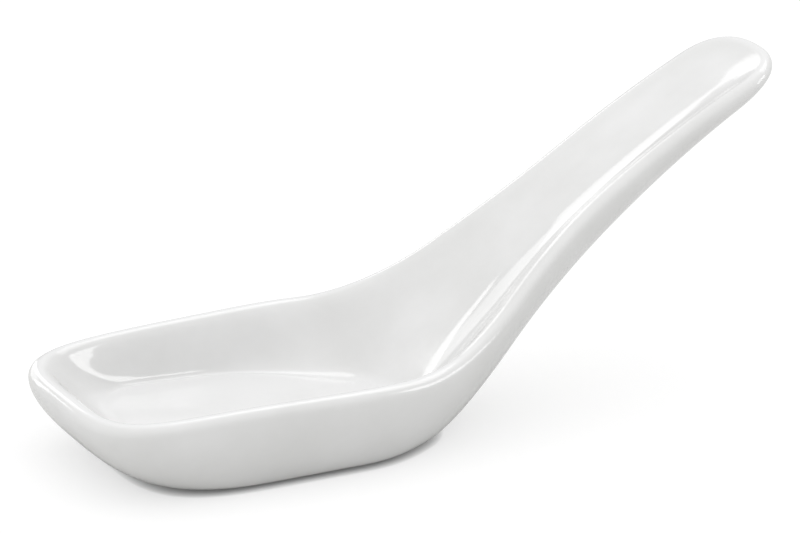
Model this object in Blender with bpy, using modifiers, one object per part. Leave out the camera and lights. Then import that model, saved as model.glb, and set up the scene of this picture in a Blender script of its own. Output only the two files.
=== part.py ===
"""Tasting spoon in glazed porcelain: a squared bowl on a flat foot, swept up into a channelled handle.

The spoon is one pressed porcelain body with a thin coat of glaze fired onto it. Its surface is a loft
of rings that run from the nose to the handle tip on the +Y side and are mirrored. The coat covers all
of that surface but the bare foot. X runs from the nose to the tip, Z is up, and the origin is the
middle of the resting face. Stations are distances back from the nose.
"""

import math

import bmesh
import bpy
import numpy as np

# Plan of the rim
LENGTH = 0.135
NOSE_WIDTH = 0.0443
BOWL_WIDTH = 0.0516
BOWL_LENGTH = 0.060
NECK_START = 0.0405
NECK_END = 0.105
HANDLE_WIDTH = 0.0244
TIP_WIDTH = 0.0235
NOSE_ROUND = 0.0249
NOSE_SQUARENESS = 4.0
TIP_ROUND = 0.0097
TIP_SQUARENESS = 2.45

# Lip of rounded section all round the rim
LIP_WIDTH = 0.0038
LIP_DROP = 0.0018

# Heights of the rim above the resting face
RIM_HEIGHT = 0.016
NOSE_DIP = 0.0011
NOSE_DIP_LENGTH = 0.030
TIP_HEIGHT = 0.0585
RIM_ANGLE = math.radians(40.0)
RIM_SWEEP_ROUND = 0.012
RIM_SWEEP_LEAD = 0.0036

# Underside and bare foot
FOOT_LENGTH = 0.042
FOOT_SETBACK = 0.0022
FOOT_DROP = 0.0005
FOOT_SQUARENESS = 3.0
UNDERSIDE_START = 0.0142
UNDERSIDE_WIDTH = 0.036
UNDERSIDE_ROUND = 0.0195
UNDERSIDE_SQUARENESS = 2.8
HEEL_MARGIN = 0.004
HEEL_ROUND = 0.0089
HEEL_ANGLE = math.radians(47.5)
KEEL_WIDTH = 0.0074
KEEL_NARROWING_LEAD = 0.0241
KEEL_NARROWING_LENGTH = 0.035
KEEL_TIP_SETBACK = 0.0031
KEEL_TIP_ROUND = 0.0074
TIP_DEPTH = 0.0056
OUTER_WALL_UPRIGHT = 0.37
OUTER_WALL_LANDING = 0.41

# Floor of the bowl, which falls towards the heel, and of the channel, whose depth fades along the handle
FLOOR_THICKNESS = 0.0038
FLOOR_TILT = math.radians(4.2)
FLOOR_START = 0.013
FLOOR_ROUND = 0.011
FLOOR_SQUARENESS = 2.7
FLOOR_SWEEP_ROUND = 0.0058
FLOOR_SWEEP_LEAD = 0.0073
BOWL_WALL_RUN = 0.0048
CHANNEL_DEPTH = 0.001
CHANNEL_FADE = 0.011
NECK_FLOOR_WIDTH = 0.004
CHANNEL_FLOOR_WIDTH = 0.0074
NECK_NARROWING_LEAD = 0.0393
NECK_NARROWING_LENGTH = 0.045
CHANNEL_WIDENING_LAG = 0.0067
CHANNEL_WIDENING_LENGTH = 0.020
CHANNEL_TIP_SETBACK = 0.0055
CHANNEL_TIP_ROUND = 0.0045
INNER_WALL_TURN = 0.35

# Coat of glaze
GLAZE_THICKNESS = 0.0003
GLAZE_CLEARANCE = 0.0003

# Fineness of the loft
NOSE_STEPS = 10
BOWL_STEPS = 8
HANDLE_STEPS = 12
TIP_STEPS = 7
LIP_STEPS = 4
INNER_WALL_STEPS = 9
OUTER_WALL_STEPS = 8
WELD_DISTANCE = 1e-6
SHARP_EDGE = math.radians(35)

# Stations that follow from the sizes above
FOOT_START = UNDERSIDE_START + FOOT_SETBACK
FOOT_END = FOOT_START + FOOT_LENGTH
FOOT_CENTRE = FOOT_START + FOOT_LENGTH / 2
HEEL_START = FOOT_END + HEEL_MARGIN
HEEL = HEEL_START + HEEL_ROUND
RIM_KNEE = HEEL - RIM_SWEEP_LEAD
KEEL_NARROWING_START = HEEL - KEEL_NARROWING_LEAD
FLOOR_KNEE = HEEL - FLOOR_SWEEP_LEAD
NECK_NARROWING_START = HEEL - NECK_NARROWING_LEAD
CHANNEL_WIDENING_START = HEEL + CHANNEL_WIDENING_LAG


def ease(fraction):
    """Smooth step from 0 to 1 that starts and ends without a kink."""
    t = np.clip(fraction, 0, 1)
    return t**3 * (t * (6 * t - 15) + 10)


def bowl_half_width(x):
    """Half width of the bowl's rim, which widens backwards."""
    return (NOSE_WIDTH + (BOWL_WIDTH - NOSE_WIDTH) * x / BOWL_LENGTH) / 2


def rim_half_width(x):
    """Half width of the rim: the bowl, easing into the narrow handle."""
    along_handle = (x - NECK_END) / (LENGTH - NECK_END)
    handle = (HANDLE_WIDTH + (TIP_WIDTH - HANDLE_WIDTH) * along_handle) / 2
    return bowl_half_width(x) + (handle - bowl_half_width(x)) * ease((x - NECK_START) / (NECK_END - NECK_START))


def underside_half_width(x):
    """Half width of the level underside: the foot's surround, easing into the handle's keel."""
    narrowing = ease((x - KEEL_NARROWING_START) / KEEL_NARROWING_LENGTH)
    return (UNDERSIDE_WIDTH + (KEEL_WIDTH - UNDERSIDE_WIDTH) * narrowing) / 2


def floor_half_width(x):
    """Half width of the floor: the bowl's, inside its wall, easing into the neck and the channel."""
    bowl = bowl_half_width(x) - LIP_WIDTH / 2 - BOWL_WALL_RUN
    narrowing = ease((x - NECK_NARROWING_START) / NECK_NARROWING_LENGTH)
    widening = ease((x - CHANNEL_WIDENING_START) / CHANNEL_WIDENING_LENGTH)
    channel = (NECK_FLOOR_WIDTH + (CHANNEL_FLOOR_WIDTH - NECK_FLOOR_WIDTH) * widening) / 2
    return bowl + (channel - bowl) * narrowing


def rounded_rise(rise, rounding):
    """Rise from zero with a rounded start: none below -rounding, the rise itself above +rounding."""
    start = (np.clip(rise, -rounding, rounding) + rounding) ** 2 / (4 * rounding)
    return np.where(rise < rounding, start, rise)


def sweep(x, knee, rounding, angle, rise):
    """Height of a line that is level up to its knee, leaves it at an angle and reaches its rise at the tip."""
    run = rounded_rise(x - knee, rounding)
    full_run = LENGTH - knee
    slope = math.tan(angle)
    return slope * run + (rise - slope * full_run) * (run / full_run) ** 2


def rim_height(x):
    """Height of the lip's crest, a little lower at the nose and swept up along the handle."""
    dip = NOSE_DIP * np.clip(1 - x / NOSE_DIP_LENGTH, 0, 1) ** 2
    return RIM_HEIGHT - dip + sweep(x, RIM_KNEE, RIM_SWEEP_ROUND, RIM_ANGLE, TIP_HEIGHT - RIM_HEIGHT)


def lip_edge_height(x):
    """Height of the lip's outer edge."""
    return rim_height(x) - LIP_DROP


def underside_height(x):
    """Height of the glazed underside: level round the foot, swept up behind the heel."""
    return FOOT_DROP + sweep(x, HEEL, HEEL_ROUND, HEEL_ANGLE, TIP_HEIGHT - TIP_DEPTH - FOOT_DROP)


def tilted_floor_height(x):
    """Height of the bowl's floor carried on along its slope."""
    return FOOT_DROP + FLOOR_THICKNESS + math.tan(FLOOR_TILT) * (FLOOR_KNEE - x)


def floor_height(x):
    """Height of the floor: the bowl's slope, then the channel, which nears the rim along the handle."""
    bowl = tilted_floor_height(x)
    knee_depth = rim_height(FLOOR_KNEE) - tilted_floor_height(FLOOR_KNEE) - CHANNEL_DEPTH
    channel = rim_height(x) - CHANNEL_DEPTH - knee_depth * np.exp((FLOOR_KNEE - x) / CHANNEL_FADE)
    return bowl + rounded_rise(channel - bowl, FLOOR_SWEEP_ROUND)


def round_end(angle, length, half_width, squareness):
    """Reach and share of the half width at an angle round a superellipse end."""
    along = np.abs(np.cos(angle)) / length
    across = np.sin(angle) / half_width
    radius = (along**squareness + across**squareness) ** (-1 / squareness)
    return radius * np.cos(angle), radius * np.sin(angle) / half_width


def outline(half_width, start, nose_round, nose_squareness, end, tip_round, tip_squareness):
    """Plan points on the +Y side, from the nose along the bowl and the handle to the tip."""
    turn = np.linspace(0, math.pi / 2, NOSE_STEPS + 1)
    bowl_start = start + nose_round
    reach, share = round_end(turn, nose_round, half_width(bowl_start), nose_squareness)
    nose_x = bowl_start - reach
    nose_y = share * half_width(nose_x)

    tip_start = end - tip_round
    bowl_x = np.linspace(bowl_start, HEEL_START, BOWL_STEPS + 1)[1:]
    handle_x = np.linspace(HEEL_START, tip_start, HANDLE_STEPS + 1)[1:]

    turn = np.linspace(math.pi / 2, 0, TIP_STEPS + 1)[1:]
    reach, share = round_end(turn, tip_round, half_width(tip_start), tip_squareness)
    tip_x = tip_start + reach
    tip_y = share * half_width(tip_x)
    tip_y[-1] = 0

    x = np.concatenate((nose_x, bowl_x, handle_x, tip_x))
    y = np.concatenate((nose_y, half_width(bowl_x), half_width(handle_x), tip_y))
    return x, y


def rim_ring(inset, drop):
    """Ring drawn in square to the rim's outline and set below its crest."""
    x, y = outline(rim_half_width, 0, NOSE_ROUND, NOSE_SQUARENESS, LENGTH, TIP_ROUND, TIP_SQUARENESS)
    along_x = np.gradient(x)
    along_y = np.gradient(y)
    along_x[[0, -1]] = 0
    length = np.hypot(along_x, along_y)
    ring_x = x + inset * along_y / length
    ring_y = y - inset * along_x / length
    return np.column_stack((ring_x, ring_y, rim_height(ring_x) - drop))


def underside_ring():
    """Edge of the level underside."""
    end = LENGTH - KEEL_TIP_SETBACK
    x, y = outline(underside_half_width, UNDERSIDE_START, UNDERSIDE_ROUND, UNDERSIDE_SQUARENESS,
                   end, KEEL_TIP_ROUND, 2)
    return np.column_stack((x, y, underside_height(x)))


def floor_ring():
    """Edge of the floor."""
    end = LENGTH - CHANNEL_TIP_SETBACK
    x, y = outline(floor_half_width, FLOOR_START, FLOOR_ROUND, FLOOR_SQUARENESS,
                   end, CHANNEL_TIP_ROUND, 2)
    return np.column_stack((x, y, floor_height(x)))


def centre_line(ring):
    """The ring's points moved onto the mirror plane."""
    return ring * (1, 0, 1)


def closing_ring(underside, margin):
    """Ring that ends the underside: round the foot, widened by a margin, then along the keel's centre."""
    ring = centre_line(underside)
    turn = np.linspace(0, math.pi, NOSE_STEPS + BOWL_STEPS + 1)
    half_length = FOOT_LENGTH / 2 + margin
    half_width = UNDERSIDE_WIDTH / 2 - FOOT_SETBACK + margin
    reach, share = round_end(turn, half_length, half_width, FOOT_SQUARENESS)
    round_foot = ring[: len(turn)]
    round_foot[:, 0] = FOOT_CENTRE - reach
    round_foot[:, 1] = share * half_width
    round_foot[-1, 1] = 0
    return ring


def outer_lip():
    """Rings over the lip's outer half, from its crest to its upright outer edge."""
    rings = []
    for turn in np.linspace(math.pi / 2, 0, LIP_STEPS + 1):
        inset = LIP_WIDTH / 2 * (1 - math.cos(turn))
        rings.append(rim_ring(inset, LIP_DROP * (1 - math.sin(turn))))
    return rings


def cubic(t, second, third):
    """Cubic Bezier curve from 0 to 1 with its two inner control values."""
    return 3 * t * (1 - t) ** 2 * second + 3 * t**2 * (1 - t) * third + t**3


def wall(top, bottom, top_height, bottom_height, across, down, steps):
    """Rings down a wall, by the control values of its way across in plan and its way down."""
    rings = []
    for t in np.linspace(0, 1, steps + 1):
        plan = top[:, :2] + (bottom - top)[:, :2] * np.reshape(cubic(t, *across), (-1, 1))
        high = top_height(plan[:, 0])
        low = bottom_height(plan[:, 0])
        rings.append(np.column_stack((plan, high + (low - high) * cubic(t, *down))))
    return rings


def inner_wall(crest, floor):
    """Rings from the lip's crest to the floor, that leave it with the lip's own radius and land level."""
    depth = rim_height(crest[:, 0]) - floor_height(crest[:, 0])
    run = np.linalg.norm((floor - crest)[:, :2], axis=1)
    lip_radius = (LIP_WIDTH / 2) ** 2 / LIP_DROP
    over_lip = np.sqrt(2 / 3 * depth * lip_radius) / run
    across = (over_lip, INNER_WALL_TURN)
    return wall(crest, floor, rim_height, floor_height, across, (0, 1), INNER_WALL_STEPS)


def outer_wall(edge, underside):
    """Rings from the lip's outer edge to the underside, that leave it upright and land level."""
    across = (0, 1 - OUTER_WALL_LANDING)
    down = (OUTER_WALL_UPRIGHT, 1)
    return wall(edge, underside, lip_edge_height, underside_height, across, down, OUTER_WALL_STEPS)


def spoon_rings(margin):
    """Rings of the finished surface, from the floor's centre line over the lip to the foot's outline."""
    lip = outer_lip()
    inner = inner_wall(lip[0], floor_ring())
    outer = outer_wall(lip[-1], underside_ring())
    return [centre_line(inner[-1]), *inner[::-1], *lip[1:-1], *outer, closing_ring(outer[-1], margin)]


def spoon_surface(margin):
    """Both halves of the finished surface: a loft between unlike rings, open round the foot."""
    bm = bmesh.new()
    grid = [[bm.verts.new(point) for point in ring] for ring in spoon_rings(margin)]
    for ring, following in zip(grid, grid[1:]):
        for near, far, next_far, next_near in zip(ring, ring[1:], following[1:], following):
            bm.faces.new((near, far, next_far, next_near))
    bmesh.ops.remove_doubles(bm, verts=bm.verts, dist=WELD_DISTANCE)
    half = bm.verts[:] + bm.edges[:] + bm.faces[:]
    bmesh.ops.mirror(bm, geom=half, axis="Y", merge_dist=WELD_DISTANCE)
    bmesh.ops.recalc_face_normals(bm, faces=bm.faces)
    return bm


def draw_in(bm, depth):
    """Move the surface inwards along its normals."""
    bm.normal_update()
    inward = [(vert, vert.normal * -depth) for vert in bm.verts]
    for vert, move in inward:
        vert.co += move


def add_foot(bm):
    """Extrude the open edge down to the resting face and cap it."""
    edge = [edge for edge in bm.edges if edge.is_boundary]
    side = bmesh.ops.extrude_edge_only(bm, edges=edge)["geom"]
    for vert in (item for item in side if isinstance(item, bmesh.types.BMVert)):
        vert.co.z = 0
    rim = [item for item in side if isinstance(item, bmesh.types.BMEdge) and item.is_boundary]
    bmesh.ops.edgeloop_fill(bm, edges=rim)
    bmesh.ops.recalc_face_normals(bm, faces=bm.faces)


def add_object(name, bm, material, frame):
    """Turn a bmesh into a smooth named object, set back so that the foot is centred on the frame."""
    mesh = bpy.data.meshes.new(name)
    bm.to_mesh(mesh)
    bm.free()
    mesh.shade_smooth()
    mesh.set_sharp_from_angle(angle=SHARP_EDGE)
    mesh.materials.append(material)
    obj = bpy.data.objects.new(name, mesh)
    frame.users_collection[0].objects.link(obj)
    obj.parent = frame
    obj.location.x = -FOOT_CENTRE
    return obj


def make_material(name, colour, roughness):
    """Plain non-metal Principled material."""
    material = bpy.data.materials.new(name)
    material.use_nodes = True
    shader = material.node_tree.nodes["Principled BSDF"]
    shader.inputs["Base Color"].default_value = (*colour, 1)
    shader.inputs["Roughness"].default_value = roughness
    shader.inputs["Metallic"].default_value = 0
    return material


def make_body(frame):
    """Porcelain body: the finished surface less the coat's depth, with the bare foot standing out below."""
    porcelain = make_material("Bare porcelain", (0.82, 0.80, 0.77), 0.65)
    surface = spoon_surface(margin=0)
    draw_in(surface, GLAZE_THICKNESS + GLAZE_CLEARANCE)
    add_foot(surface)
    add_object("porcelain_body", surface, porcelain, frame)


def make_coat(frame):
    """Coat of glaze: a thin shell inside the finished surface, open round the bare foot."""
    glaze = make_material("White glaze", (0.90, 0.90, 0.89), 0.06)
    coat = add_object("glaze_coat", spoon_surface(GLAZE_CLEARANCE), glaze, frame)
    shell = coat.modifiers.new("Coat", "SOLIDIFY")
    shell.thickness = GLAZE_THICKNESS
    shell.offset = -1
    shell.use_even_offset = True


def make_frame():
    """Empty at the middle of the resting face, in the spoon's own collection."""
    collection = bpy.data.collections.new("Tasting spoon")
    bpy.context.scene.collection.children.link(collection)
    frame = bpy.data.objects.new("spoon_frame", None)
    collection.objects.link(frame)
    return frame


for leftover in list(bpy.data.objects):
    bpy.data.objects.remove(leftover)

spoon_frame = make_frame()
make_body(spoon_frame)
make_coat(spoon_frame)
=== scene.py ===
"""Tasting spoon in white glazed porcelain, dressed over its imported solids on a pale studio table."""

import math

import bmesh
import bpy
import numpy as np
from mathutils import Matrix, Vector


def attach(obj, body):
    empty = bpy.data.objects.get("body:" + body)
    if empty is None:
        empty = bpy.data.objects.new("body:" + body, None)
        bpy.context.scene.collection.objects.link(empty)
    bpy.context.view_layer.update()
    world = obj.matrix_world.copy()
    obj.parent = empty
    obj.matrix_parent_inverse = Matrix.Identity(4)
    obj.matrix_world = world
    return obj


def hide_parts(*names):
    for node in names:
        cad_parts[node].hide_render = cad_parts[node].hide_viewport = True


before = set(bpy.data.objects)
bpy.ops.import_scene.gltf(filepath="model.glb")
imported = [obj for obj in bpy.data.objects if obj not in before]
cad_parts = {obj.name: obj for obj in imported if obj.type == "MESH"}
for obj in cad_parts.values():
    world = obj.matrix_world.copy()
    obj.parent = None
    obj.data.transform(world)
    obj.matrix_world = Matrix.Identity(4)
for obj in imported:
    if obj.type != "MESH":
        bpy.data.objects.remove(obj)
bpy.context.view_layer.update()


# Porcelain body
# Bowl and handle are pressed as one piece from hard-paste porcelain and fired under the glaze over it.
# Only the foot is bare: it is wiped clean before firing, so that the spoon can't stick to the kiln shelf.

MM = 0.001
BISCUIT_GRAIN = 0.4 * MM
BISCUIT_GRAIN_HEIGHT = 0.06 * MM
SHELF_RUBBING = 7 * MM


def linear(hex_colour):
    """Linear RGBA of an sRGB hex colour."""
    channels = [int(hex_colour[i : i + 2], 16) / 255 for i in (1, 3, 5)]
    return [c / 12.92 if c <= 0.04045 else ((c + 0.055) / 1.055) ** 2.4 for c in channels] + [1]


def add_node(material, kind, settings=None, values=None, links=None):
    """Add a node with its settings, its socket values and the links into its sockets."""
    new = material.node_tree.nodes.new(kind)
    for name, value in (settings or {}).items():
        setattr(new, name, value)
    for socket, value in (values or {}).items():
        new.inputs[socket].default_value = value
    for socket, source in (links or {}).items():
        material.node_tree.links.new(source, new.inputs[socket])
    return new


# Biscuit porcelain: unglazed, sintered from fine clay and felspar. The eye sees a warm matt white with a dry
# grain and faint grey rubbings from the kiln shelf. The real grain is about 0.05 mm, and is drawn coarser so
# that it shows.
biscuit = bpy.data.materials.new("Biscuit porcelain")
biscuit.use_nodes = True
biscuit_shader = biscuit.node_tree.nodes["Principled BSDF"]
biscuit_shader.inputs["IOR"].default_value = 1.5
biscuit_place = add_node(biscuit, "ShaderNodeTexCoord")
biscuit_grain = add_node(
    biscuit, "ShaderNodeTexNoise", values={"Scale": 1 / BISCUIT_GRAIN, "Detail": 3, "Roughness": 0.6},
    links={"Vector": biscuit_place.outputs["Object"]})
biscuit_rubbing = add_node(
    biscuit, "ShaderNodeTexNoise", values={"Scale": 1 / SHELF_RUBBING, "Detail": 5, "Roughness": 0.7},
    links={"Vector": biscuit_place.outputs["Object"]})
biscuit_colour = add_node(biscuit, "ShaderNodeValToRGB", links={"Fac": biscuit_rubbing.outputs["Fac"]})
biscuit_colour.color_ramp.elements[0].position = 0.38
biscuit_colour.color_ramp.elements[0].color = linear("#D9D5CD")
biscuit_colour.color_ramp.elements[1].position = 0.58
biscuit_colour.color_ramp.elements[1].color = linear("#E6E1D8")
biscuit_matt = add_node(
    biscuit, "ShaderNodeMapRange", values={"To Min": 0.58, "To Max": 0.78},
    links={"Value": biscuit_grain.outputs["Fac"]})
biscuit_relief = add_node(
    biscuit, "ShaderNodeBump", values={"Strength": 0.35, "Distance": BISCUIT_GRAIN_HEIGHT},
    links={"Height": biscuit_grain.outputs["Fac"]})
biscuit.node_tree.links.new(biscuit_colour.outputs["Color"], biscuit_shader.inputs["Base Color"])
biscuit.node_tree.links.new(biscuit_matt.outputs["Result"], biscuit_shader.inputs["Roughness"])
biscuit.node_tree.links.new(biscuit_relief.outputs["Normal"], biscuit_shader.inputs["Normal"])
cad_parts["porcelain_body"].material_slots[0].material = biscuit


# Glaze coat
# A clear felspathic glaze over the white body, 0.3 mm thick, dipped on and fired to a gloss all over but the
# foot. Its surface is the spoon's own: a squared bowl with a rounded lip, swept up into a channelled handle.

# Plan of the rim, with stations as distances back from the nose
LENGTH = 135 * MM
NOSE_WIDTH = 44.3 * MM
BOWL_WIDTH = 51.6 * MM
BOWL_LENGTH = 60 * MM
NECK_START = 40.5 * MM
NECK_END = 105 * MM
HANDLE_WIDTH = 24.4 * MM
TIP_WIDTH = 23.5 * MM
NOSE_ROUND = 24.9 * MM
NOSE_SQUARENESS = 4
TIP_ROUND = 9.7 * MM
TIP_SQUARENESS = 2.45

# Lip and heights of the rim
LIP_WIDTH = 3.8 * MM
LIP_DROP = 1.8 * MM
RIM_HEIGHT = 16 * MM
NOSE_DIP = 1.1 * MM
NOSE_DIP_LENGTH = 30 * MM
TIP_HEIGHT = 58.5 * MM
RIM_ANGLE = math.radians(40)
RIM_SWEEP_ROUND = 12 * MM
RIM_SWEEP_LEAD = 3.6 * MM

# Underside and bare foot
FOOT_LENGTH = 42 * MM
FOOT_SETBACK = 2.2 * MM
FOOT_DROP = 0.5 * MM
FOOT_MARGIN = 0.3 * MM
FOOT_SQUARENESS = 3
UNDERSIDE_START = 14.2 * MM
UNDERSIDE_WIDTH = 36 * MM
UNDERSIDE_ROUND = 19.5 * MM
UNDERSIDE_SQUARENESS = 2.8
HEEL_MARGIN = 4 * MM
HEEL_ROUND = 8.9 * MM
HEEL_ANGLE = math.radians(47.5)
KEEL_WIDTH = 7.4 * MM
KEEL_NARROWING_LEAD = 24.1 * MM
KEEL_NARROWING_LENGTH = 35 * MM
KEEL_TIP_SETBACK = 3.1 * MM
KEEL_TIP_ROUND = 7.4 * MM
KEEL_TIP_SQUARENESS = 2
TIP_DEPTH = 5.6 * MM
OUTER_WALL_UPRIGHT = 0.37
OUTER_WALL_LANDING = 0.41

# Floor of the bowl, which falls towards the heel, and of the channel along the handle
FLOOR_THICKNESS = 3.8 * MM
FLOOR_TILT = math.radians(4.2)
FLOOR_START = 13 * MM
FLOOR_ROUND = 11 * MM
FLOOR_SQUARENESS = 2.7
FLOOR_SWEEP_ROUND = 5.8 * MM
FLOOR_SWEEP_LEAD = 7.3 * MM
BOWL_WALL_RUN = 4.8 * MM
CHANNEL_DEPTH = 1 * MM
CHANNEL_FADE = 11 * MM
NECK_FLOOR_WIDTH = 4 * MM
CHANNEL_FLOOR_WIDTH = 7.4 * MM
NECK_NARROWING_LEAD = 39.3 * MM
NECK_NARROWING_LENGTH = 45 * MM
CHANNEL_WIDENING_LAG = 6.7 * MM
CHANNEL_WIDENING_LENGTH = 20 * MM
CHANNEL_TIP_SETBACK = 8 * MM
CHANNEL_TIP_ROUND = 4.5 * MM
CHANNEL_TIP_SQUARENESS = 2
INNER_WALL_TURN = 0.35

# Coat and its fired surface
GLAZE_THICKNESS = 0.3 * MM
GLAZE_DRIFT = 16 * MM
GLAZE_WAVE = 5 * MM
GLAZE_WAVE_HEIGHT = 0.02 * MM

# Fineness of the mesh
NOSE_STEPS = 48
BOWL_STEPS = 36
HANDLE_STEPS = 96
TIP_STEPS = 32
LIP_STEPS = 12
INNER_WALL_STEPS = 44
OUTER_WALL_STEPS = 26
WELD_DISTANCE = 0.001 * MM

# Stations that follow from the sizes above
FOOT_START = UNDERSIDE_START + FOOT_SETBACK
FOOT_CENTRE = FOOT_START + FOOT_LENGTH / 2
HEEL_START = FOOT_START + FOOT_LENGTH + HEEL_MARGIN
HEEL = HEEL_START + HEEL_ROUND
RIM_KNEE = HEEL - RIM_SWEEP_LEAD
FLOOR_KNEE = HEEL - FLOOR_SWEEP_LEAD
KEEL_NARROWING_START = HEEL - KEEL_NARROWING_LEAD
NECK_NARROWING_START = HEEL - NECK_NARROWING_LEAD
CHANNEL_WIDENING_START = HEEL + CHANNEL_WIDENING_LAG


def ease(fraction):
    """Smooth step from 0 to 1 that starts and ends without a kink."""
    t = np.clip(fraction, 0, 1)
    return t**3 * (t * (6 * t - 15) + 10)


def bowl_half_width(x):
    """Half width of the bowl's rim, which widens backwards from the nose."""
    return (NOSE_WIDTH + (BOWL_WIDTH - NOSE_WIDTH) * x / BOWL_LENGTH) / 2


def rim_half_width(x):
    """Half width of the rim: the bowl, easing into the narrow handle."""
    bowl = bowl_half_width(x)
    along_handle = (x - NECK_END) / (LENGTH - NECK_END)
    handle = (HANDLE_WIDTH + (TIP_WIDTH - HANDLE_WIDTH) * along_handle) / 2
    return bowl + (handle - bowl) * ease((x - NECK_START) / (NECK_END - NECK_START))


def underside_half_width(x):
    """Half width of the underside: the foot's surround, easing into the handle's keel."""
    narrowing = ease((x - KEEL_NARROWING_START) / KEEL_NARROWING_LENGTH)
    return (UNDERSIDE_WIDTH + (KEEL_WIDTH - UNDERSIDE_WIDTH) * narrowing) / 2


def floor_half_width(x):
    """Half width of the floor: the bowl's, inside its wall, easing into the handle's channel."""
    bowl = bowl_half_width(x) - LIP_WIDTH / 2 - BOWL_WALL_RUN
    narrowing = ease((x - NECK_NARROWING_START) / NECK_NARROWING_LENGTH)
    widening = ease((x - CHANNEL_WIDENING_START) / CHANNEL_WIDENING_LENGTH)
    channel = (NECK_FLOOR_WIDTH + (CHANNEL_FLOOR_WIDTH - NECK_FLOOR_WIDTH) * widening) / 2
    return bowl + (channel - bowl) * narrowing


def rounded_rise(rise, rounding):
    """Rise from zero with a rounded start: none below -rounding, the rise itself above +rounding."""
    start = (np.clip(rise, -rounding, rounding) + rounding) ** 2 / (4 * rounding)
    return np.where(rise < rounding, start, rise)


def sweep(x, knee, rounding, angle, rise):
    """Height of a line that is level up to its knee, leaves it at an angle and ends at its rise."""
    run = rounded_rise(x - knee, rounding)
    full_run = LENGTH - knee
    slope = math.tan(angle)
    return slope * run + (rise - slope * full_run) * (run / full_run) ** 2


def rim_height(x):
    """Height of the lip's crest, a little lower at the nose and swept up along the handle."""
    dip = NOSE_DIP * np.clip(1 - x / NOSE_DIP_LENGTH, 0, 1) ** 2
    return RIM_HEIGHT - dip + sweep(x, RIM_KNEE, RIM_SWEEP_ROUND, RIM_ANGLE, TIP_HEIGHT - RIM_HEIGHT)


def lip_edge_height(x):
    """Height of the lip's outer edge."""
    return rim_height(x) - LIP_DROP


def underside_height(x):
    """Height of the underside: level round the foot, swept up behind the heel."""
    return FOOT_DROP + sweep(x, HEEL, HEEL_ROUND, HEEL_ANGLE, TIP_HEIGHT - TIP_DEPTH - FOOT_DROP)


def tilted_floor_height(x):
    """Height of the bowl's floor carried on along its slope."""
    return FOOT_DROP + FLOOR_THICKNESS + math.tan(FLOOR_TILT) * (FLOOR_KNEE - x)


def floor_height(x):
    """Height of the floor: the bowl's slope, then the channel, which nears the rim along the handle."""
    bowl = tilted_floor_height(x)
    knee_depth = rim_height(FLOOR_KNEE) - tilted_floor_height(FLOOR_KNEE) - CHANNEL_DEPTH
    channel = rim_height(x) - CHANNEL_DEPTH - knee_depth * np.exp((FLOOR_KNEE - x) / CHANNEL_FADE)
    return bowl + rounded_rise(channel - bowl, FLOOR_SWEEP_ROUND)


def round_end(angle, length, half_width, squareness):
    """Reach and share of the half width at an angle round a superellipse end."""
    along = np.abs(np.cos(angle)) / length
    across = np.sin(angle) / half_width
    radius = (along**squareness + across**squareness) ** (-1 / squareness)
    return radius * np.cos(angle), radius * np.sin(angle) / half_width


def outline(half_width, start, nose_round, nose_squareness, end, tip_round, tip_squareness):
    """Plan points on the +Y side, from the nose along the bowl and the handle to the tip."""
    turn = np.linspace(0, math.pi / 2, NOSE_STEPS + 1)
    bowl_start = start + nose_round
    reach, share = round_end(turn, nose_round, half_width(bowl_start), nose_squareness)
    nose_x = bowl_start - reach
    nose_y = share * half_width(nose_x)
    tip_start = end - tip_round
    middle_x = np.concatenate((
        np.linspace(bowl_start, HEEL_START, BOWL_STEPS + 1)[1:],
        np.linspace(HEEL_START, tip_start, HANDLE_STEPS + 1)[1:]))
    turn = np.linspace(math.pi / 2, 0, TIP_STEPS + 1)[1:]
    reach, share = round_end(turn, tip_round, half_width(tip_start), tip_squareness)
    tip_x = tip_start + reach
    tip_y = share * half_width(tip_x)
    tip_y[-1] = 0
    return np.concatenate((nose_x, middle_x, tip_x)), np.concatenate((nose_y, half_width(middle_x), tip_y))


def rim_ring(inset, drop):
    """Ring drawn in square to the rim's outline and set below its crest."""
    x, y = outline(rim_half_width, 0, NOSE_ROUND, NOSE_SQUARENESS, LENGTH, TIP_ROUND, TIP_SQUARENESS)
    along = np.concatenate(([0], np.cumsum(np.hypot(np.diff(x), np.diff(y)))))
    along_x = np.gradient(x, along)
    along_y = np.gradient(y, along)
    along_x[[0, -1]] = 0
    length = np.hypot(along_x, along_y)
    ring_x = x + inset * along_y / length
    ring_y = y - inset * along_x / length
    return np.column_stack((ring_x, ring_y, rim_height(ring_x) - drop))


def cubic(t, second, third):
    """Cubic Bezier curve from 0 to 1 with its two inner control values."""
    return 3 * t * (1 - t) ** 2 * second + 3 * t**2 * (1 - t) * third + t**3


def wall(top, bottom, top_height, bottom_height, across, down, steps):
    """Rings down a wall, by the control values of its way across in plan and its way down."""
    rings = []
    for t in np.linspace(0, 1, steps + 1):
        plan = top[:, :2] + (bottom - top)[:, :2] * np.reshape(cubic(t, *across), (-1, 1))
        high = top_height(plan[:, 0])
        low = bottom_height(plan[:, 0])
        rings.append(np.column_stack((plan, high + (low - high) * cubic(t, *down))))
    return rings


# Lip: half round over its outer side, from the crest to the upright outer edge.
lip = [
    rim_ring(LIP_WIDTH / 2 * (1 - math.cos(turn)), LIP_DROP * (1 - math.sin(turn)))
    for turn in np.linspace(math.pi / 2, 0, LIP_STEPS + 1)]

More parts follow.
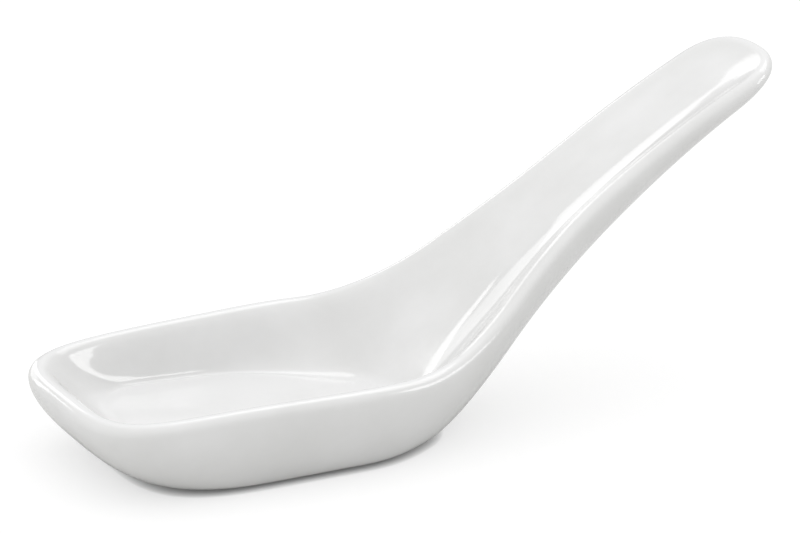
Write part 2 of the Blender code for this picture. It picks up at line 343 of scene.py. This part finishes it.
# Inner wall: leaves the crest with the lip's own radius and lands level on the floor.
floor_x, floor_y = outline(
    floor_half_width, FLOOR_START, FLOOR_ROUND, FLOOR_SQUARENESS,
    LENGTH - CHANNEL_TIP_SETBACK, CHANNEL_TIP_ROUND, CHANNEL_TIP_SQUARENESS)
floor_edge = np.column_stack((floor_x, floor_y, floor_height(floor_x)))
wall_depth = rim_height(lip[0][:, 0]) - floor_height(lip[0][:, 0])
wall_run = np.linalg.norm((floor_edge - lip[0])[:, :2], axis=1)
lip_radius = (LIP_WIDTH / 2) ** 2 / LIP_DROP
over_lip = np.sqrt(2 / 3 * wall_depth * lip_radius) / wall_run
inner = wall(
    lip[0], floor_edge, rim_height, floor_height, (over_lip, INNER_WALL_TURN), (0, 1), INNER_WALL_STEPS)

# Outer wall: leaves the lip's edge upright and lands level on the underside.
under_x, under_y = outline(
    underside_half_width, UNDERSIDE_START, UNDERSIDE_ROUND, UNDERSIDE_SQUARENESS,
    LENGTH - KEEL_TIP_SETBACK, KEEL_TIP_ROUND, KEEL_TIP_SQUARENESS)
underside_edge = np.column_stack((under_x, under_y, underside_height(under_x)))
outer = wall(
    lip[-1], underside_edge, lip_edge_height, underside_height,
    (0, 1 - OUTER_WALL_LANDING), (OUTER_WALL_UPRIGHT, 1), OUTER_WALL_STEPS)

# Underside: ends round the foot and along the centre of the keel.
closing = underside_edge * (1, 0, 1)
foot_points = NOSE_STEPS + BOWL_STEPS + 1
foot_turn = np.linspace(0, math.pi, foot_points)
foot_half_length = FOOT_LENGTH / 2 + FOOT_MARGIN
foot_half_width = UNDERSIDE_WIDTH / 2 - FOOT_SETBACK + FOOT_MARGIN
foot_reach, foot_share = round_end(foot_turn, foot_half_length, foot_half_width, FOOT_SQUARENESS)
closing[:foot_points, 0] = FOOT_CENTRE - foot_reach
closing[:foot_points, 1] = foot_share * foot_half_width
closing[foot_points - 1, 1] = 0

# Skin: one half lofted from the floor's centre line over the lip to the foot, then mirrored and thickened.
rings = [inner[-1] * (1, 0, 1), *inner[::-1], *lip[1:-1], *outer, closing]
skin = bmesh.new()
grid = [[skin.verts.new(point - (FOOT_CENTRE, 0, 0)) for point in ring] for ring in rings]
for ring, following in zip(grid, grid[1:]):
    for near, far, next_far, next_near in zip(ring, ring[1:], following[1:], following):
        skin.faces.new((near, far, next_far, next_near))
bmesh.ops.remove_doubles(skin, verts=skin.verts, dist=WELD_DISTANCE)
half = skin.verts[:] + skin.edges[:] + skin.faces[:]
bmesh.ops.mirror(skin, geom=half, axis="Y", merge_dist=WELD_DISTANCE)
bmesh.ops.recalc_face_normals(skin, faces=skin.faces)
glaze_mesh = bpy.data.meshes.new("fired_glaze")
skin.to_mesh(glaze_mesh)
skin.free()
glaze_mesh.shade_smooth()
fired_glaze = bpy.data.objects.new("fired_glaze", glaze_mesh)
bpy.context.scene.collection.objects.link(fired_glaze)
coat = fired_glaze.modifiers.new("Coat", "SOLIDIFY")
coat.thickness = GLAZE_THICKNESS
coat.offset = -1
coat.use_even_offset = True

# Felspathic glaze: fired to a smooth glassy gloss. The eye sees a clean neutral white with mirror-like,
# slightly wavy reflections and soft drifts of tone. On top of that, the more a surface faces upwards, the
# whiter
# it is painted: a painted top light. Drifts and waves are about as wide as on a real glaze.
glaze = bpy.data.materials.new("Felspathic glaze on porcelain")
glaze.use_nodes = True
glaze_shader = glaze.node_tree.nodes["Principled BSDF"]
glaze_shader.inputs["IOR"].default_value = 1.5
glaze_place = add_node(glaze, "ShaderNodeTexCoord")
glaze_drift = add_node(
    glaze, "ShaderNodeTexNoise", values={"Scale": 1 / GLAZE_DRIFT, "Detail": 4, "Roughness": 0.55},
    links={"Vector": glaze_place.outputs["Object"]})
glaze_way = add_node(glaze, "ShaderNodeSeparateXYZ", links={"Vector": glaze_place.outputs["Normal"]})
# Painted top light: surfaces facing upwards are painted whiter.
glaze_painted_top_light = add_node(
    glaze, "ShaderNodeMapRange", values={"From Min": 0.82, "From Max": 1, "To Min": 0, "To Max": 0.5},
    links={"Value": glaze_way.outputs["Z"]})
# Random drift of tone plus the painted top light sets the glaze's colour.
glaze_drift_and_painted_top_light = add_node(
    glaze, "ShaderNodeMath", {"operation": "ADD"},
    links={0: glaze_drift.outputs["Fac"], 1: glaze_painted_top_light.outputs["Result"]})
glaze_colour = add_node(glaze, "ShaderNodeValToRGB", links={"Fac": glaze_drift_and_painted_top_light.outputs["Value"]})
glaze_colour.color_ramp.elements[0].position = 0.3
glaze_colour.color_ramp.elements[0].color = linear("#E2E2E1")
glaze_colour.color_ramp.elements[1].position = 1
glaze_colour.color_ramp.elements[1].color = linear("#F0F0F0")
glaze_gloss = add_node(
    glaze, "ShaderNodeMapRange", values={"To Min": 0.06, "To Max": 0.11},
    links={"Value": glaze_drift.outputs["Fac"]})
glaze_waves = add_node(
    glaze, "ShaderNodeTexNoise", values={"Scale": 1 / GLAZE_WAVE, "Detail": 1, "Roughness": 0.4},
    links={"Vector": glaze_place.outputs["Object"]})
glaze_relief = add_node(
    glaze, "ShaderNodeBump", values={"Strength": 0.1, "Distance": GLAZE_WAVE_HEIGHT},
    links={"Height": glaze_waves.outputs["Fac"]})
glaze.node_tree.links.new(glaze_colour.outputs["Color"], glaze_shader.inputs["Base Color"])
glaze.node_tree.links.new(glaze_gloss.outputs["Result"], glaze_shader.inputs["Roughness"])
glaze.node_tree.links.new(glaze_relief.outputs["Normal"], glaze_shader.inputs["Normal"])
glaze_mesh.materials.append(glaze)

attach(fired_glaze, "root")
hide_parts("glaze_coat")


# Studio table
# A wide sheet of matt pale laminate that the spoon stands on, as photographers use for pictures on white.
# It lies flat under the foot, and reaches far enough to fill the picture.

TABLE_SIZE = 8
PAINTED_CONTACT_SHADE_REACH = 1.5 * MM
TABLE_PAINTED_GLOW = 0.58

bpy.ops.mesh.primitive_plane_add(size=TABLE_SIZE)
table = bpy.context.object
table.name = "studio_table"

# Matt laminate: a plain pale grey without gloss, which lights the spoon and shows in its glaze. Camera rays
# see a darker grey with a painted glow, so that the table burns out to white and its shadows stay light. The
# glow fades close under the spoon, a painted contact shadow that keeps the line of contact dark.
laminate = bpy.data.materials.new("Matt pale laminate")
laminate.use_nodes = True
laminate_shader = laminate.node_tree.nodes["Principled BSDF"]
laminate_shader.inputs["Roughness"].default_value = 0.9
laminate_shader.inputs["Specular IOR Level"].default_value = 0
laminate_shader.inputs["Emission Color"].default_value = linear("#FFFFFF")
laminate_view = add_node(laminate, "ShaderNodeLightPath")
laminate_colour = add_node(
    laminate, "ShaderNodeValToRGB", links={"Fac": laminate_view.outputs["Is Camera Ray"]})
laminate_colour.color_ramp.elements[0].color = linear("#E2E2E1")
laminate_colour.color_ramp.elements[1].color = linear("#B5B5B5")
# Painted contact shadow: the glow fades where the spoon comes within this reach of the table.
laminate_painted_contact_shade = add_node(laminate, "ShaderNodeAmbientOcclusion", values={"Distance": PAINTED_CONTACT_SHADE_REACH})
laminate_painted_contact_fade = add_node(
    laminate, "ShaderNodeMapRange", values={"To Min": 0, "To Max": TABLE_PAINTED_GLOW},
    links={"Value": laminate_painted_contact_shade.outputs["AO"]})
# Painted glow, seen by camera rays only.
laminate_painted_glow = add_node(
    laminate, "ShaderNodeMath", {"operation": "MULTIPLY"},
    links={0: laminate_painted_contact_fade.outputs["Result"], 1: laminate_view.outputs["Is Camera Ray"]})
laminate.node_tree.links.new(laminate_colour.outputs["Color"], laminate_shader.inputs["Base Color"])
laminate.node_tree.links.new(laminate_painted_glow.outputs["Value"], laminate_shader.inputs["Emission Strength"])
table.data.materials.append(laminate)


# Lamps
# Two tall softboxes stand behind the spoon to the left, before a dim backdrop. A high one over the far right
# draws the edge of the bowl's floor, and one at the right front shows in the bowl's far corner. They show in
# the gloss only, and the light itself comes from a pale room.

BEHIND = math.radians(27)
AWAY = Vector((math.sin(BEHIND), math.cos(BEHIND), 0))
ALONG = Vector((math.cos(BEHIND), -math.sin(BEHIND), 0))
STAND_DISTANCE = 1.5
BACKDROP_DISTANCE = 1.6
BOOM_DISTANCE = 1.3
BACK_CORNERS = ((-0.495, 0.285), (-0.495, 1.08), (-1.095, 1.08), (-0.675, 0.33))
BOOM_SOFTBOXES = (("rim_softbox", 62, 59, 0.9, 0.44, 2), ("corner_softbox", 126, 30, 0.58, 0.5, 4.5))
ROOM_SIDES = ((-90, 45, 0.23, 0.82), (90, 45, 0.23, 0.76))


def behind(distance, across, rise):
    """Place behind the spoon: how far away, how far to the right and how high."""
    return AWAY * distance + ALONG * across + Vector((0, 0, rise))


def toward(azimuth, elevation):
    """Direction by its compass angle from +Y towards +X and its angle above the table, in degrees."""
    turn = math.radians(azimuth)
    rise = math.radians(elevation)
    return Vector((math.sin(turn) * math.cos(rise), math.cos(turn) * math.cos(rise), math.sin(rise)))


def add_softbox(name, place, facing, width, height, radiance):
    """Rectangular lamp with an even glow, its centre at a place and its face towards a direction."""
    lamp = bpy.data.lights.new(name, "AREA")
    lamp.shape = "RECTANGLE"
    lamp.size = width
    lamp.size_y = height
    lamp.energy = radiance * math.pi * width * height
    softbox = bpy.data.objects.new(name, lamp)
    softbox.location = place
    softbox.rotation_euler = (-facing).to_track_quat("Z", "Y").to_euler()
    softbox.visible_diffuse = False
    bpy.context.scene.collection.objects.link(softbox)


# Slanted softbox: a panel cut narrower towards its foot, which draws the long highlight down the handle.
back_mesh = bpy.data.meshes.new("back_softbox")
back_corners = [behind(STAND_DISTANCE, across, rise) for across, rise in BACK_CORNERS]
back_mesh.from_pydata(back_corners, [], [range(len(back_corners))])
back_softbox = bpy.data.objects.new("back_softbox", back_mesh)
back_softbox.visible_camera = False
back_softbox.visible_diffuse = False
back_softbox.visible_shadow = False
bpy.context.scene.collection.objects.link(back_softbox)

# Softbox cloth: white diffusing nylon lit from behind. The eye sees an even white glow without any sheen.
cloth = bpy.data.materials.new("Softbox cloth")
cloth.use_nodes = True
cloth_shader = cloth.node_tree.nodes["Principled BSDF"]
cloth_shader.inputs["Base Color"].default_value = linear("#000000")
cloth_shader.inputs["Specular IOR Level"].default_value = 0
cloth_shader.inputs["Emission Color"].default_value = linear("#FFFFFF")
cloth_shader.inputs["Emission Strength"].default_value = 2.6
back_mesh.materials.append(cloth)

add_softbox("backdrop", behind(BACKDROP_DISTANCE, -1.04, 0.4), -AWAY, 1.1, 0.8, 1.35)
add_softbox("left_softbox", behind(STAND_DISTANCE, -1.691, 0.631), -AWAY, 0.473, 0.762, 3)
for name, azimuth, elevation, width, height, radiance in BOOM_SOFTBOXES:
    way = toward(azimuth, elevation)
    add_softbox(name, way * BOOM_DISTANCE, -way, width, height, radiance)

# Pale room: smooth white light, strongest overhead, and lower down stronger at the two sides than at the
# front and the back.
room = bpy.data.worlds.new("Pale room")
room.use_nodes = True
room_way = add_node(room, "ShaderNodeTexCoord")
room_sides = []
for azimuth, elevation, dimmest, brightest in ROOM_SIDES:
    side_way = add_node(
        room, "ShaderNodeVectorMath", {"operation": "DOT_PRODUCT"}, {1: toward(azimuth, elevation)},
        {0: room_way.outputs["Generated"]})
    room_sides.append(add_node(
        room, "ShaderNodeMapRange", {"interpolation_type": "SMOOTHSTEP"},
        {"From Min": 0, "From Max": 1, "To Min": dimmest, "To Max": brightest},
        {"Value": side_way.outputs["Value"]}).outputs["Result"])
room_light = add_node(room, "ShaderNodeMath", {"operation": "ADD"}, links=dict(enumerate(room_sides)))
room_background = room.node_tree.nodes["Background"]
room_background.inputs["Color"].default_value = linear("#FFFFFF")
room.node_tree.links.new(room_light.outputs["Value"], room_background.inputs["Strength"])
bpy.context.scene.world = room
bpy.context.scene.view_settings.view_transform = "Standard"


# Camera
# A long lens from the front left, 20 degrees above the table, with the spoon filling an 800 by 533 frame.
# It stands square to its aim and is turned slightly, so that the aim shows some pixels off the middle.

IMAGE_WIDTH = 800
SENSOR_WIDTH = 36
CAMERA_AZIMUTH = math.radians(27.087)
CAMERA_ELEVATION = math.radians(20.218)
CAMERA_DISTANCE = 0.9
PIXELS_PER_METRE = 5815.8
AIM = Vector((27.6, 0, 22)) * MM
AIM_PIXELS = (2.12, 30.32)

back = Vector((
    -math.sin(CAMERA_AZIMUTH) * math.cos(CAMERA_ELEVATION),
    -math.cos(CAMERA_AZIMUTH) * math.cos(CAMERA_ELEVATION),
    math.sin(CAMERA_ELEVATION)))
right = Vector((math.cos(CAMERA_AZIMUTH), -math.sin(CAMERA_AZIMUTH), 0))
up = back.cross(right)
place = AIM + back * CAMERA_DISTANCE
middle = AIM - right * AIM_PIXELS[0] / PIXELS_PER_METRE + up * AIM_PIXELS[1] / PIXELS_PER_METRE
view = (place - middle).normalized()
side = Vector((0, 0, 1)).cross(view).normalized()
lens = bpy.data.cameras.new("studio_camera")
lens.sensor_width = SENSOR_WIDTH
lens.lens = SENSOR_WIDTH * PIXELS_PER_METRE * CAMERA_DISTANCE / IMAGE_WIDTH
camera = bpy.data.objects.new("studio_camera", lens)
camera.matrix_world = Matrix.Translation(place) @ Matrix((side, view.cross(side), view)).transposed().to_4x4()
bpy.context.scene.collection.objects.link(camera)
bpy.context.scene.camera = camera
